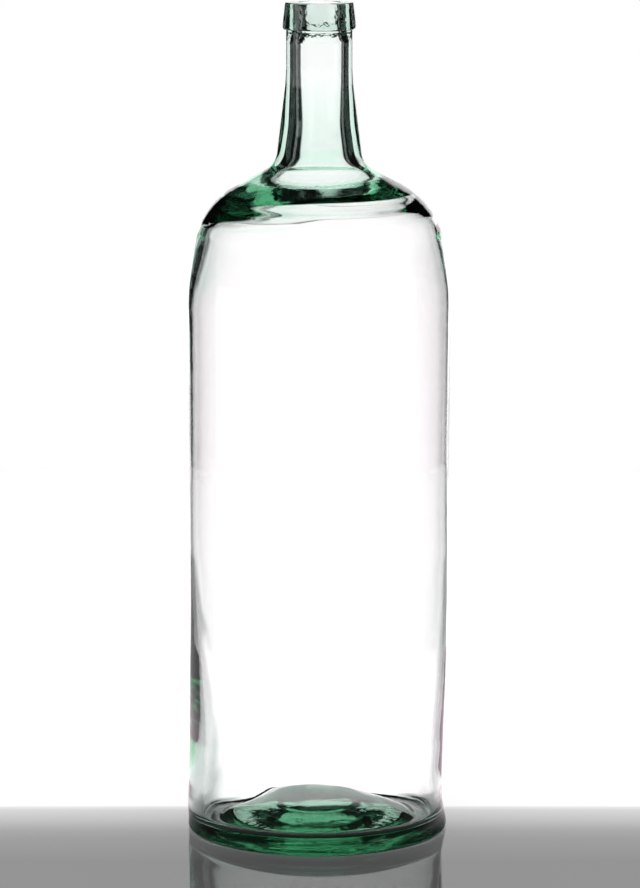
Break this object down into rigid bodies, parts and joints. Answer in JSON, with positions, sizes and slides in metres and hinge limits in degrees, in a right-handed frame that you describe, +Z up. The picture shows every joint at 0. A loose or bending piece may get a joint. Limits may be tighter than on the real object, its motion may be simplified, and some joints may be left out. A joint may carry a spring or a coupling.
{
  "type": "glass bottle",
  "caption": "Tall cylindrical free-blown glass bottle with a round shoulder, a tapered neck, a laid-on lip and a pushed-up base.",
  "frame": {"origin": "centre of the bottle's footprint, on the surface that it stands on", "axes": "+Z up along the bottle's height, -Y towards the side that the picture shows, +X to its right"},
  "size_m": [0.1435, 0.1426, 0.452],
  "materials": {
    "body_glass": "clear, faint green, fire-polished and wavy",
    "lip_glass": "clear, faint green, tooled"
  },
  "bodies": {
    "root": {"blown_body": "body_glass", "applied_lip": "lip_glass"}
  },
  "joints": []
}
